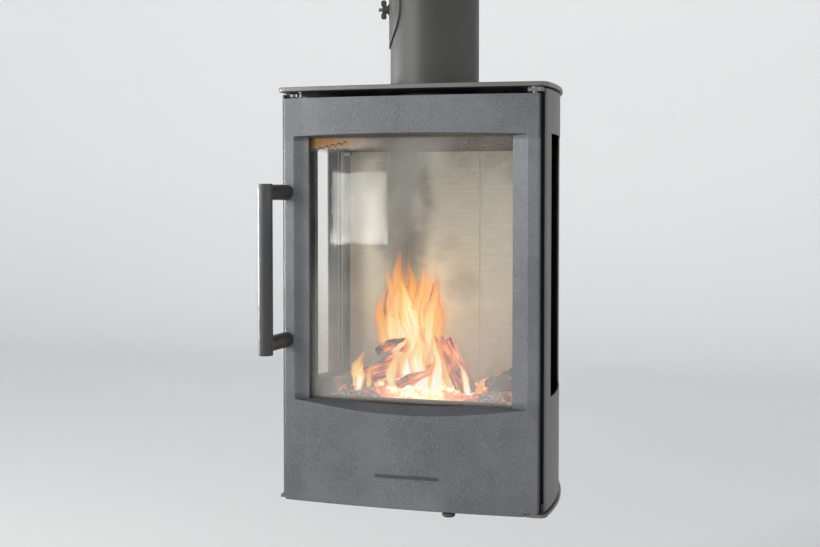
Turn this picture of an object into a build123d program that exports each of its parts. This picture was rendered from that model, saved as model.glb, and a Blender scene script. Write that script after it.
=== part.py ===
from build123d import *
import os
from math import atan2, cos, degrees, hypot, radians, sin

# A wall-hung wood burning stove with its first length of flue pipe.
# Working frame: X to the viewer's right, Y into the wall, Z up, the base plate's underside at Z = 0
# and the middle of the bowed door face at Y = 0. The parts are written in the row frame, whose
# origin is the centre of the four wall bolts, on the wall.

# Driving dimensions, millimetres.
HEIGHT = 670.0
TOP_T = 7.0
BASE_T = 5.0
PLATE_FRONT_Y = -2.0
PLATE_HALF = 224.5
BACK_Y = 344.0
WALL_Y = 360.0
WALL_BOLTS_Z = 500.0
BOW_R = 1980.0
SIDE_R = 600.0
SIDE_WIDEST_Y = 89.0
CORNER_R = 16.0
UNDER_TOP = HEIGHT - TOP_T

CASING_INSET = 3.8
SHEET = 2.0
PLATE = 4.0
CASING_FRONT_Y = 27.0
CASING_LIP_X = 214.0
CASING_Z = (8.0, 660.0)
SIDE_WINDOW_Y = (55.0, 215.0)
SIDE_WINDOW_Z = (180.0, 592.6)
FRAME_Y = (46.0, 50.0)
FRAME_TOP = 655.0
BACK_PANEL_HALF = 158.0

DOOR_HALF = 208.5
DOOR_Z = (0.5, 652.5)
DOOR_FOOT_Z = 6.5
APRON_T = 4.0
APRON_END_X = 186.0
DOOR_BACK_Y = 26.0
DOOR_WALL = 6.0
EDGE_R = 1.2
THROAT_HALF = 167.0
THROAT_Z = (168.0, 588.5)
BEVEL_Y = 13.5
BEVEL_SPREAD_X = 77.5
BEVEL_DROP_END = 7.0
BEVEL_DROP_MID = 18.5
BEVEL_RISE = 5.5
HINGE_X = 200.0
HINGE_Y = 18.0
HINGE_R = 4.0
RUNNING = 0.05

GLASS_T = 4.0
GASKET_T = 1.5
GLASS_HALF = 175.0
GLASS_Z = (160.0, 594.0)
SEAL_FRAME_HALF = 190.0
SEAL_FRAME_Z = (40.0, 618.0)
SEAL_FRAME_W = 14.0
SEAL_FRAME_BACK_Y = 36.0
ROPE_W = 8.0

ROD_X = -200.0
ROD_Y = 34.5
ROD_R = 4.0
ROD_Z = (14.0, 660.0)
HANDLE_X = -212.2
HANDLE_Y = -59.0
HANDLE_R = 12.0
HANDLE_Z = (245.0, 514.5)
ARM_R = 12.5
ARM_Z = (262.0, 501.0)
ARM_FOOT_X = -205.0
ARM_GAP = 2.0
LUG_X = (-209.5, -205.5)

BOX_HALF = 172.0
BOX_BACK_Y = 250.0
BOX_Z = (66.0, 640.0)
FLOOR_Z = (146.0, 150.0)
LINER_Y = (235.0, 250.0)
LINER_SEAM_X = 66.0
BOX_WINDOW_Y = (70.0, 205.0)
BOX_WINDOW_Z = (190.0, 580.0)
GRATE = (-78.0, 78.0, 87.0, 213.0)

FLUE_Y = 177.0
PIPE_R = 75.0
PIPE_T = 2.0
PIPE_TOP = 1000.0
SLEEVE_Z = (940.0, 1050.0)
BEAD_H = 3.0
SLIP = 0.1
HATCH_Z = 810.0
HATCH_ANGLE = 193.0
HATCH_HALF = (52.0, 66.0)
HATCH_GAP = 0.5

LEVER_Y = 150.0
LEVER_TIP = (72.0, 0.0)
SHAFT_R = 6.0
INTAKE_Y = 270.0
INTAKE_R = 50.0


def box(x0, x1, y0, y1, z0, z1):
    """A block between two corners."""
    return Pos((x0 + x1) / 2, (y0 + y1) / 2, (z0 + z1) / 2) * Box(x1 - x0, y1 - y0, z1 - z0)


def post(x, y, z0, z1, r):
    """An upright cylinder."""
    return Pos(x, y, (z0 + z1) / 2) * Cylinder(r, z1 - z0)


def bar_x(y, z, x0, x1, r):
    """A cylinder along X."""
    return Pos((x0 + x1) / 2, y, z) * Rot(0, 90, 0) * Cylinder(r, x1 - x0)


def bar_y(x, z, y0, y1, r):
    """A cylinder along Y."""
    return Pos(x, (y0 + y1) / 2, z) * Rot(90, 0, 0) * Cylinder(r, y1 - y0)


def ring(x, y, z0, z1, outer, inner):
    """An upright tube."""
    return post(x, y, z0, z1, outer) - post(x, y, z0 - 1, z1 + 1, inner)


def mirrored(shape):
    """The shape and its twin across the stove's middle."""
    return [shape, mirror(shape, Plane.YZ)]


def screw(x, y, z, way, head_r, head_t, shank_r, length):
    """A screw whose head's underside is at the point; way is where the head faces."""
    turn = {"+x": Rot(0, 90, 0), "-x": Rot(0, -90, 0), "+y": Rot(-90, 0, 0), "-y": Rot(90, 0, 0)}[way]
    head = Pos(0, 0, head_t / 2) * Cylinder(head_r, head_t)
    shank = Pos(0, 0, -length / 2) * Cylinder(shank_r, length)
    return Pos(x, y, z) * turn * (head + shank)


def plan(inset, corner=0.0):
    """The stove seen from above: a bowed front, two bulging sides and a straight back."""
    shape = Pos(0, PLATE_FRONT_Y + BOW_R) * Circle(BOW_R - inset)
    for side in (-1, 1):
        shape = shape & Pos(side * (PLATE_HALF - SIDE_R), SIDE_WIDEST_Y) * Circle(SIDE_R - inset)
    depth = BACK_Y - PLATE_FRONT_Y
    shape = shape & Pos(0, (BACK_Y - inset + PLATE_FRONT_Y) / 2) * Rectangle(600, depth - inset)
    if corner:
        front = shape.vertices().sort_by(Axis.Y)[:2]
        shape = fillet(front, corner)
    return shape


def slab(sketch, z0, z1):
    """A flat sketch made into a plate between two heights."""
    return Pos(0, 0, z0) * extrude(sketch, z1 - z0)


def face_y(x):
    """The depth of the bowed door face at a distance from the middle."""
    return x * x / (2 * BOW_R)


# Casing


def top_plate():
    plate = slab(plan(0, CORNER_R), UNDER_TOP, HEIGHT)
    plate = fillet(plate.edges().group_by(Axis.Z)[-1] + plate.edges().group_by(Axis.Z)[0], EDGE_R)
    return plate - post(0, FLUE_Y, UNDER_TOP - 1, HEIGHT + 1, PIPE_R - PIPE_T + 0.5)


def base_plate():
    """The lower plate; its front stands back behind the door's apron and round the lower pin."""
    plate = slab(plan(0, CORNER_R), 0, BASE_T)
    plate = fillet(plate.edges().group_by(Axis.Z)[-1] + plate.edges().group_by(Axis.Z)[0], EDGE_R)
    plate -= box(-DOOR_HALF - 1, APRON_END_X + 4, -50, 30, -1, BASE_T + 1) - post(
        0, BOW_R, -2, BASE_T + 2, BOW_R - APRON_T - 0.8
    )
    plate -= box(APRON_END_X + 3, 240, -50, 11.5, -1, BASE_T + 1)
    plate -= box(-240, -DOOR_HALF, -50, 24, -1, BASE_T + 1)
    plate -= post(HINGE_X, HINGE_Y, -1, BASE_T + 1, HINGE_R)
    plate -= post(0, LEVER_Y, -1, BASE_T + 1, SHAFT_R + RUNNING)
    return plate - post(0, INTAKE_Y, -1, BASE_T + 1, INTAKE_R - SHEET)


def side_panel():
    """The right-hand casing side: one bent sheet with a lip at the front and a flange at the back."""
    outer = plan(CASING_INSET)
    inner = plan(CASING_INSET + SHEET)
    sheet = outer - (inner & Pos(0, 500 + CASING_FRONT_Y + SHEET) * Rectangle(600, 1000))
    sheet -= Pos(0, CASING_FRONT_Y - 500) * Rectangle(600, 1000)
    sheet -= Pos(0, CASING_FRONT_Y) * Rectangle(2 * CASING_LIP_X, 60)
    sheet -= Pos(0, BACK_Y) * Rectangle(2 * 146.0, 60)
    sheet = sheet & Pos(500, 200) * Rectangle(1000, 500)
    panel = slab(sheet, *CASING_Z)
    fold = panel.edges().filter_by(Axis.Z).filter_by(lambda e: e.center().Y < CASING_FRONT_Y + 0.5)
    panel = fillet(fold.sort_by(Axis.X)[-1], 1.8)
    return panel - box(180, 260, *SIDE_WINDOW_Y, *SIDE_WINDOW_Z)


def rear_screw_set():
    """Eight screws through the back panel's edges and four through the hanger rail."""
    screws = []
    for x in (-152.0, 152.0):
        for z in (40.0, 230.0, 440.0, 630.0):
            screws.append(screw(x, BACK_Y, z, "+y", 4.5, 2.5, 2.5, 6.0))
    for x in (-100.0, -40.0, 40.0, 100.0):
        screws.append(screw(x, BACK_Y + 3, 512, "+y", 4.5, 3.0, 2.5, 9.0))
    return screws


def back_panel():
    return box(-BACK_PANEL_HALF, BACK_PANEL_HALF, BACK_Y - SHEET, BACK_Y, CASING_Z[0], FRAME_TOP)


def front_frame():
    """The welded front plate with the loading opening and the ash pan opening."""
    edge = plan(CASING_INSET + SHEET) & Pos(0, sum(FRAME_Y) / 2) * Rectangle(600, FRAME_Y[1] - FRAME_Y[0])
    frame = slab(edge, BASE_T, FRAME_TOP)
    frame -= box(-168, 168, 40, 60, 160, 596)
    return frame - box(-132, 132, 40, 60, 76, 132)


def corner_spacers():
    """Blocks that carry the top plate, and the two stops at the foot of the casing's front."""
    blocks = [box(-216, -207.5, 39, 50, FRAME_TOP, UNDER_TOP)]
    for x in (-120, 120):
        blocks.append(box(x - 8, x + 8, 330, BACK_Y, FRAME_TOP, UNDER_TOP))
    blocks += mirrored(box(209, 215, 33, FRAME_Y[0], BASE_T, 16.5))
    return blocks


def rear_heat_shield():
    """A thin sheet between the firebox and the back panel, on four bent-back tabs."""
    shield = box(-165, 165, 300, 301.5, 72, 650)
    for x in (-125, 125):
        for z in (110, 600):
            shield += box(x - 10, x + 10, 300, BACK_Y - SHEET, z - 0.75, z + 0.75)
    return shield


# Firebox


def side_frame_screw_set():
    screws = []
    for z in (186.0, 385.0, 584.0):
        for y in (58.5, 216.5):
            screws += mirrored(screw(BOX_HALF + 12.5, y, z, "+x", 3.5, 2.5, 1.8, 10.0))
    return screws


def firebox_side():
    """The right-hand firebox side with its window."""
    side = box(BOX_HALF, BOX_HALF + PLATE, FRAME_Y[1], BOX_BACK_Y + PLATE, BOX_Z[0] + PLATE, BOX_Z[1])
    return side - box(BOX_HALF - 1, BOX_HALF + PLATE + 1, *BOX_WINDOW_Y, *BOX_WINDOW_Z)


def firebox_back():
    return box(-BOX_HALF, BOX_HALF, BOX_BACK_Y, BOX_BACK_Y + PLATE, BOX_Z[0] + PLATE, BOX_Z[1])


def firebox_top():
    half = BOX_HALF + PLATE
    plate = box(-half, half, FRAME_Y[1], BOX_BACK_Y + PLATE, BOX_Z[1], BOX_Z[1] + PLATE)
    return plate - post(0, FLUE_Y, BOX_Z[1] - 1, BOX_Z[1] + PLATE + 1, PIPE_R - PIPE_T - SLIP)


def firebox_floor():
    plate = box(-BOX_HALF, BOX_HALF, FRAME_Y[1], BOX_BACK_Y, *FLOOR_Z)
    return plate - box(-66, 66, 99, 201, FLOOR_Z[0] - 1, FLOOR_Z[1] + 1)


def ash_chamber_floor():
    """The plate under the ash pan, with two runners and three air holes over the damper."""
    half = BOX_HALF + PLATE
    plate = box(-half, half, FRAME_Y[1], BOX_BACK_Y + PLATE, BOX_Z[0], BOX_Z[0] + PLATE)
    for side in (-1, 1):
        plate += box(side * 118 - 4, side * 118 + 4, FRAME_Y[1], 238, BOX_Z[0] + PLATE, 80)
    return plate - air_holes(BOX_Z[0] - 1, BOX_Z[0] + PLATE + 1)


def air_holes(z0, z1):
    """Three holes round the damper's axis."""
    return [
        post(22 * cos(radians(turn)), LEVER_Y + 22 * sin(radians(turn)), z0, z1, 8.5)
        for turn in (90, 210, 330)
    ]


def back_liners():
    """Three upright insulating boards in front of the firebox back."""
    z0, z1 = FLOOR_Z[1], BOX_Z[1]
    edges = (-BOX_HALF, -LINER_SEAM_X, LINER_SEAM_X, BOX_HALF)
    boards = []
    for left, right in zip(edges, edges[1:]):
        boards.append(box(left + 0.3, right - 0.3, *LINER_Y, z0, z1))
    return boards


def floor_liner():
    board = box(-BOX_HALF + 1, BOX_HALF - 1, 60, LINER_Y[0], FLOOR_Z[1], FLOOR_Z[1] + 12)
    x0, x1, y0, y1 = GRATE
    return board - box(x0 - 1, x1 + 1, y0 - 1, y1 + 1, FLOOR_Z[1] - 1, FLOOR_Z[1] + 13)


def grate():
    """A cast grate with a row of slots over the ash pan."""
    x0, x1, y0, y1 = GRATE
    plate = box(x0, x1, y0, y1, FLOOR_Z[1], FLOOR_Z[1] + 8)
    slots = [
        box(x - 3, x + 3, 104, 196, FLOOR_Z[1] - 1, FLOOR_Z[1] + 9) for x in range(-60, 61, 15)
    ]
    return plate - slots


def log_guard():
    """A low bent plate that keeps the logs off the glass."""
    guard = box(-150, 150, 54, 57, FLOOR_Z[1], FLOOR_Z[1] + 17)
    return guard + box(-150, 150, 57, 60, FLOOR_Z[1], FLOOR_Z[1] + 3)


def ash_pan():
    """An open tray with a folded front lip."""
    pan = box(-124, 124, 48, 236, 80, 126) - box(-122, 122, 50, 234, 82, 127)
    return pan + box(-40, 40, 42, 48, 124, 126)


def baffle_board():
    """The sloping insulating board over the fire, lower at the back."""
    rise = 23.0
    run = 140.0
    slope = degrees(atan2(rise, run))
    length = hypot(run, rise) - 4
    board = Pos(0, -length / 2, 10) * Box(2 * BOX_HALF - 3, length, 20)
    return Pos(0, LINER_Y[0] - 4, 571.5) * Rot(-slope, 0, 0) * board


def baffle_pegs():
    """Four pegs on the firebox sides that the sloping board lies on."""
    pegs = []
    for y, z in ((115.0, 583.5), (205.0, 568.5)):
        pegs += mirrored(bar_x(y, z, BOX_HALF - 12, BOX_HALF, 5))
    return pegs


def smoke_plate():
    return box(-BOX_HALF, BOX_HALF, 68, 212, 618, 622)


def air_wash_channel():
    """A bent strip behind the front frame that sends air down over the glass."""
    channel = box(-168, 168, FRAME_Y[1], 66, 600, 602)
    return channel + box(-168, 168, 64, 66, 602, 616)


def side_glass():
    return box(BOX_HALF + 5.5, BOX_HALF + 9.5, 62, 213, 182, 588)


def side_glass_seal():
    seal = box(BOX_HALF + PLATE, BOX_HALF + 5.5, 62, 213, 182, 588)
    return seal - box(BOX_HALF, BOX_HALF + 8, *BOX_WINDOW_Y, *BOX_WINDOW_Z)


def side_glass_frame():
    """A frame over the side glass, screwed to the firebox side."""
    frame = box(BOX_HALF + PLATE, BOX_HALF + 12.5, 54, 221, 174, 596)
    frame -= box(BOX_HALF, BOX_HALF + 9.5, 62, 213, 182, 588)
    return frame - box(BOX_HALF, BOX_HALF + 20, *BOX_WINDOW_Y, *BOX_WINDOW_Z)


# Air supply and its control


def air_box():
    """The duct from the fresh air intake to the damper, open below on to the base plate."""
    duct = box(-90, 90, 90, 330, BASE_T, BOX_Z[0]) - box(-88, 88, 92, 328, 0, BOX_Z[0] - SHEET)
    return duct - box(-88, 88, 92, 252, 60, 70)


def fresh_air_spigot():
    tube = ring(0, INTAKE_Y, -40, 0, INTAKE_R, INTAKE_R - SHEET)
    return tube + ring(0, INTAKE_Y, -2, 0, INTAKE_R + 8, INTAKE_R - SHEET)


def lever_frame(shape):
    """Moves a shape made along +X from the origin on to the lever's line."""
    dx = LEVER_TIP[0]
    dy = LEVER_TIP[1] - LEVER_Y
    return Pos(0, LEVER_Y, 0) * Rot(0, 0, degrees(atan2(dy, dx))) * shape


def lever_length():
    return hypot(LEVER_TIP[0], LEVER_TIP[1] - LEVER_Y)


def air_lever():
    """A flat lever under the base plate, fixed to the damper's shaft."""
    bar = box(0, lever_length() - 14, -6, 6, -5.5, -1) + post(0, 0, -5.5, -1, 12)
    return lever_frame(bar - post(0, 0, -6, 0, SHAFT_R))


def lever_grip():
    """A round knob on the lever's end."""
    end = lever_length()
    grip = post(end - 11, 0, -7, -0.6, 10.5)
    grip = fillet(grip.edges().group_by(Axis.Z)[0], 3.5)
    return lever_frame(grip - box(0, end - 14, -6, 6, -5.5, -1))


def damper_shaft():
    return post(0, LEVER_Y, -5.5, 61, SHAFT_R)


def damper_disc():
    disc = post(0, LEVER_Y, 61, BOX_Z[0] - 0.5, 36)
    return disc - air_holes(60, BOX_Z[0] + 1)


# Flue


def flue_collar():
    outer = PIPE_R - PIPE_T - SLIP
    return ring(0, FLUE_Y, BOX_Z[1], 705, outer, outer - 2)


def hatch_frame(shape):
    """Moves a shape made about the origin, facing +X, to the hatch on the pipe."""
    return Pos(0, FLUE_Y, HATCH_Z) * Rot(0, 0, HATCH_ANGLE) * shape


def hatch_prism(half_w, half_h, x0, x1):
    """An oval bar along +X."""
    oval = Plane.YZ * Ellipse(half_w, half_h)
    return Pos(x0, 0, 0) * extrude(oval, x1 - x0)


def flue_pipe():
    pipe = ring(0, FLUE_Y, HEIGHT, PIPE_TOP, PIPE_R, PIPE_R - PIPE_T)
    return pipe - hatch_frame(hatch_prism(HATCH_HALF[0] - 10, HATCH_HALF[1] - 10, 20, 90))


def pipe_sleeve():
    """The sleeve that joins the next length; a rolled bead stops it on the pipe's end."""
    outer = PIPE_R - PIPE_T - SLIP
    sleeve = ring(0, FLUE_Y, *SLEEVE_Z, outer, outer - PIPE_T)
    bead = ring(0, FLUE_Y, PIPE_TOP, PIPE_TOP + BEAD_H, PIPE_R, outer - 1)
    bead = fillet(bead.edges().filter_by(GeomType.CIRCLE).sort_by(SortBy.RADIUS)[-2:], 1.4)
    return sleeve + bead


def hatch_cover():
    """A bent oval plate over the sweeping hole, with a boss for the stud."""
    inner = PIPE_R + HATCH_GAP
    shell = ring(0, 0, -70, 70, inner + 2, inner)
    cover = shell & hatch_prism(*HATCH_HALF, 20, 90)
    cover += bar_x(0, 0, inner + 0.8, inner + 4, 9)
    return hatch_frame(cover - bar_x(0, 0, 60, 90, 3 + RUNNING))


def hatch_clamp():
    """The bar inside the pipe with the stud that the cover is pulled on to."""
    bar = box(69, 72.4, -8, 8, -65, 65)
    return hatch_frame(bar + bar_x(0, 0, 72.4, 95, 3))


def wing_nut():
    start = PIPE_R + HATCH_GAP + 4
    nut = bar_x(0, 0, start, start + 9, 6.5)
    for side in (-1, 1):
        lobe = Pos(start + 7, 0, side * 10.5) * Box(9, 3.2, 11)
        lobe = fillet(lobe.edges().filter_by(Axis.Y), 3.5)
        nut += lobe
    return hatch_frame(nut - bar_x(0, 0, 60, 120, 3 + RUNNING))


# Wall fixing


def wall_bracket():
    """The wall plate: four bolt holes, a shelf and an upstand that hold the hanger rail."""
    plate = box(-150, 150, 355, WALL_Y, 440, 560)
    plate += box(-150, 150, 349, 355, 541, 545)
    plate += box(-150, 150, 349, 352, 545, 556)
    for x in (-120, 120):
        for z in (WALL_BOLTS_Z - 35, WALL_BOLTS_Z + 35):
            plate -= bar_y(x, z, 340, 370, 5.5)
    return plate


def hanger_rail():
    """The stove's own hook rail on the back panel, dropped behind the bracket's upstand."""
    rail = box(-140, 140, BACK_Y, BACK_Y + 3, 500, 571)
    rail += box(-140, 140, BACK_Y + 3, 354.8, 567, 571)
    return rail + box(-140, 140, 352.2, 354.8, 545, 567)


def wall_spacers():
    return [bar_y(x, 70, BACK_Y, WALL_Y, 14) for x in (-110, 110)]


# Door hinge and catch, fixed side


def hinge_bracket():
    """The upper hinge plate on the front frame, its outer front corner rounded."""
    plate = box(206.8, 213.7, 6, 60, FRAME_TOP, FRAME_TOP + 6)
    plate = fillet(plate.edges().filter_by(Axis.Z).sort_by(Axis.Y)[:2], 3)
    plate += box(190, 208, 12.2, 60, FRAME_TOP, FRAME_TOP + 6)
    return plate - post(HINGE_X, HINGE_Y, FRAME_TOP - 1, FRAME_TOP + 7, HINGE_R)


def hinge_pins():
    """The upper headed pin, and the lower pin with the collar that carries the door."""
    upper = post(HINGE_X, HINGE_Y, 628, FRAME_TOP + 6, HINGE_R)
    upper += post(HINGE_X, HINGE_Y, FRAME_TOP + 6, UNDER_TOP - 0.4, 6)
    lower = post(HINGE_X, HINGE_Y, 0, 30, HINGE_R)
    lower += post(HINGE_X, HINGE_Y, BASE_T, DOOR_FOOT_Z, 6.4)
    return [upper, lower]


def catch_pins():
    """The two fixed pins that the latch hooks pull against."""
    return [post(-184.5, 27.5, 654, UNDER_TOP, 3), post(-184.5, 36, BASE_T, 22, 3)]


# Door


def opening_wire(y, spread):
    """The window opening's outline at a depth; spread 0 is the throat, 1 is the face at the middle."""
    half = THROAT_HALF + BEVEL_SPREAD_X * spread
    low_end = THROAT_Z[0] - BEVEL_DROP_END * spread
    low_mid = THROAT_Z[0] - BEVEL_DROP_MID * spread
    high = THROAT_Z[1] + BEVEL_RISE * spread
    corners = [(-half, y, low_end), (half, y, low_end), (half, y, high), (-half, y, high)]
    if spread:
        sill = ThreePointArc(corners[0], (0, y, low_mid), corners[1])
    else:
        sill = Line(corners[0], corners[1])
    return Wire([sill, *[Line(corners[i], corners[(i + 1) % 4]) for i in (1, 2, 3)]])


def door_opening():
    """The splayed window cut-out: bevelled jambs and lintel, and a sill that bows downwards."""
    reach = 1.5
    front = opening_wire(BEVEL_Y * (1 - reach), reach)
    splay = Solid.make_loft([front, opening_wire(BEVEL_Y, 0)], ruled=True)
    return splay + box(-THROAT_HALF, THROAT_HALF, BEVEL_Y - 0.01, 40, *THROAT_Z)


def bowed(front_y, half, z0, z1):
    """A block with a bowed front, between two heights, up to the door's back."""
    disc = Pos(0, BOW_R) * Circle(BOW_R - front_y)
    return slab(disc & Pos(0, DOOR_BACK_Y / 2 - 10) * Rectangle(2 * half, DOOR_BACK_Y + 20), z0, z1)


def on_face(edge):
    """True for the edges where the window opening meets the bowed face."""
    middle = edge.center()
    inside = abs(middle.X) < THROAT_HALF + BEVEL_SPREAD_X and DOOR_Z[0] + 1 < middle.Z < DOOR_Z[1] - 1
    return inside and abs(middle.Y - face_y(middle.X)) < 1.2


def on_rim(edge):
    """True for the face's top and bottom edges."""
    middle = edge.center()
    return middle.Y < 12.5 and min(abs(middle.Z - z) for z in DOOR_Z) < 0.01


def door_panel():
    """The cast door: bowed face, apron at the foot, pockets at the back and a raised badge bar."""
    door = bowed(0, DOOR_HALF, *DOOR_Z)
    front = door.edges().filter_by(Axis.Z).sort_by(Axis.Y)[:2]
    door = fillet(front, 3.0)
    door -= bowed(DOOR_WALL, 192, 14, 143)
    door -= bowed(DOOR_WALL, 192, 622, 646)
    door -= door_opening()
    door = fillet(door.edges().filter_by(on_face), EDGE_R)
    door = fillet(door.edges().filter_by(on_rim), EDGE_R)
    door -= bowed(APRON_T, 300, -1, DOOR_FOOT_Z)
    door -= box(APRON_END_X, 300, -10, 40, -1, DOOR_FOOT_Z)
    door -= [box(-230, 0.5 + LUG_X[1], 0, 40, z - 10.5, z + 10.5) for z in ARM_Z]
    door -= post(HINGE_X, HINGE_Y, 620, 660, HINGE_R + RUNNING)
    door -= post(HINGE_X, HINGE_Y, 0, 32, HINGE_R + RUNNING)
    badge = Pos(0, 1.5, 52) * Box(104, 6, 5)
    badge = fillet(badge.edges().filter_by(Axis.Y), 2.4)
    return door + (badge & Pos(0, BOW_R, 52) * Cylinder(BOW_R + 1.2, 20))


def seal_ring(x_out, z0, z1, width, y0, y1):
    """A rectangular ring of one bar width."""
    outer = box(-x_out, x_out, y0, y1, z0, z1)
    return outer - box(width - x_out, x_out - width, y0 - 1, y1 + 1, z0 + width, z1 - width)


def door_seal_frame():
    """The steel frame on the door's back with the groove for the rope."""
    half, (z0, z1) = SEAL_FRAME_HALF, SEAL_FRAME_Z
    frame = seal_ring(half, z0, z1, SEAL_FRAME_W, DOOR_BACK_Y, SEAL_FRAME_BACK_Y)
    groove = (SEAL_FRAME_W - ROPE_W) / 2
    return frame - seal_ring(half - groove, z0 + groove, z1 - groove, ROPE_W, 31, 40)


def door_rope_seal():
    groove = (SEAL_FRAME_W - ROPE_W) / 2
    half, (z0, z1) = SEAL_FRAME_HALF - groove, SEAL_FRAME_Z
    rope = seal_ring(half, z0 + groove, z1 - groove, ROPE_W, 31, FRAME_Y[0] - 0.3)
    return fillet(rope.edges().group_by(Axis.Y)[-1], 3.0)


def door_glass():
    y0 = DOOR_BACK_Y + GASKET_T
    return box(-GLASS_HALF, GLASS_HALF, y0, y0 + GLASS_T, *GLASS_Z)


def glass_gasket():
    tape = box(-GLASS_HALF, GLASS_HALF, DOOR_BACK_Y, DOOR_BACK_Y + GASKET_T, *GLASS_Z)
    throat = box(-THROAT_HALF - 1, THROAT_HALF + 1, 20, 40, THROAT_Z[0] - 1, THROAT_Z[1] + 1)
    return tape - throat


def clip_places():
    """Where the glass clips sit: three along the bottom and three along the top."""
    return [(x, end) for x in (-120.0, 0.0, 120.0) for end in ("low", "high")]


def glass_clips():
    clips = []
    y0 = DOOR_BACK_Y
    y1 = y0 + GASKET_T + GLASS_T
    for x, end in clip_places():
        foot = (149.0, 159.5) if end == "low" else (594.5, 603.5)
        tongue = (149.0, 166.5) if end == "low" else (589.5, 603.5)
        clips.append(box(x - 11, x + 11, y0, y1, *foot) + box(x - 11, x + 11, y1, y1 + 2, *tongue))
    return clips


def clip_screw_set():
    y1 = DOOR_BACK_Y + GASKET_T + GLASS_T + 2
    return [
        screw(x, y1, 154.0 if end == "low" else 599.0, "+y", 3.2, 2.0, 1.8, 12.0)
        for x, end in clip_places()
    ]


def door_back_shield():
    """The sheet that closes the pocket in the door's lower part."""
    return box(-170, 170, DOOR_BACK_Y, DOOR_BACK_Y + 1.5, 64, 145)


def rod_bearings():
    """Three blocks on the door's back that the locking rod turns in."""
    blocks = []
    for z in (110.0, 380.0, 585.0):
        block = box(ROD_X - 7, ROD_X + 7, DOOR_BACK_Y, ROD_Y + 8.5, z - 9, z + 9)
        blocks.append(block - post(ROD_X, ROD_Y, z - 10, z + 10, ROD_R + RUNNING))
    return blocks


# Handle and locking rod


def locking_rod():
    return post(ROD_X, ROD_Y, *ROD_Z, ROD_R)


def handle_tube():
    """The upright grip tube, open inside."""
    z0, z1 = HANDLE_Z
    return ring(HANDLE_X, HANDLE_Y, z0 + 3, z1 - 3, HANDLE_R, HANDLE_R - 2)


def handle_end_caps():
    """Flat caps with a rounded rim, each with a plug inside the tube."""
    caps = []
    z0, z1 = HANDLE_Z
    for end, inward in ((z0, 1), (z1, -1)):
        disc = post(HANDLE_X, HANDLE_Y, *sorted((end, end + 3 * inward)), HANDLE_R)
        rim = disc.edges().filter_by(lambda e, z=end: abs(e.center().Z - z) < 0.1)
        disc = fillet(rim, 1.0)
        caps.append(disc + post(HANDLE_X, HANDLE_Y, *sorted((end + 3 * inward, end + 9 * inward)), 9.9))
    return caps


def handle_lugs():
    """Two lugs; each runs through a notch in the door's edge to a hub on the locking rod."""
    foot_y = face_y(ARM_FOOT_X) - ARM_GAP
    lugs = []
    for z in ARM_Z:
        lug = box(*LUG_X, foot_y - 3, ROD_Y + 4, z - 9.5, z + 9.5)
        lug += box(LUG_X[0], ROD_X, ROD_Y - 4, ROD_Y + 4, z - 9.5, z + 9.5)
        lug += post(ROD_X, ROD_Y, z - 9.5, z + 9.5, 7.5)
        lugs.append(lug - post(ROD_X, ROD_Y, z - 12, z + 12, ROD_R))
    return lugs


def handle_arms():
    """Two round arms from the grip tube to the door's edge, each welded to its lug."""
    foot_y = face_y(ARM_FOOT_X) - ARM_GAP
    dx, dy = HANDLE_X - ARM_FOOT_X, HANDLE_Y - foot_y
    length = hypot(dx, dy)
    grip = post(HANDLE_X, HANDLE_Y, 0, 700, HANDLE_R)
    arms = []
    for z, lug in zip(ARM_Z, handle_lugs()):
        arm = Pos(ARM_FOOT_X, foot_y, z) * Rot(0, 0, degrees(atan2(dy, dx))) * bar_x(0, 0, 0, length, ARM_R)
        arms += [arm - grip - lug, lug]
    return arms


def latch_hooks():
    """A hook plate at each end of the locking rod."""
    hooks = []
    for z0, toward in ((655.0, (8.0, -4.6)), (ROD_Z[0], (8.0, 1.0))):
        hook = post(ROD_X, ROD_Y, z0, z0 + 5, 7)
        hook += post(ROD_X + toward[0], ROD_Y + toward[1], z0, z0 + 5, 3)
        turn = degrees(atan2(toward[1], toward[0]))
        hook += Pos(ROD_X, ROD_Y, 0) * Rot(0, 0, turn) * box(0, hypot(*toward), -3, 3, z0, z0 + 5)
        hooks.append(hook - post(ROD_X, ROD_Y, z0 - 1, z0 + 6, ROD_R))
    return hooks


def both_sides(shape, cutters=()):
    """A left and right pair of a right-hand part, with screw holes."""
    return [half - list(cutters) if cutters else half for half in mirrored(shape)]


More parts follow.
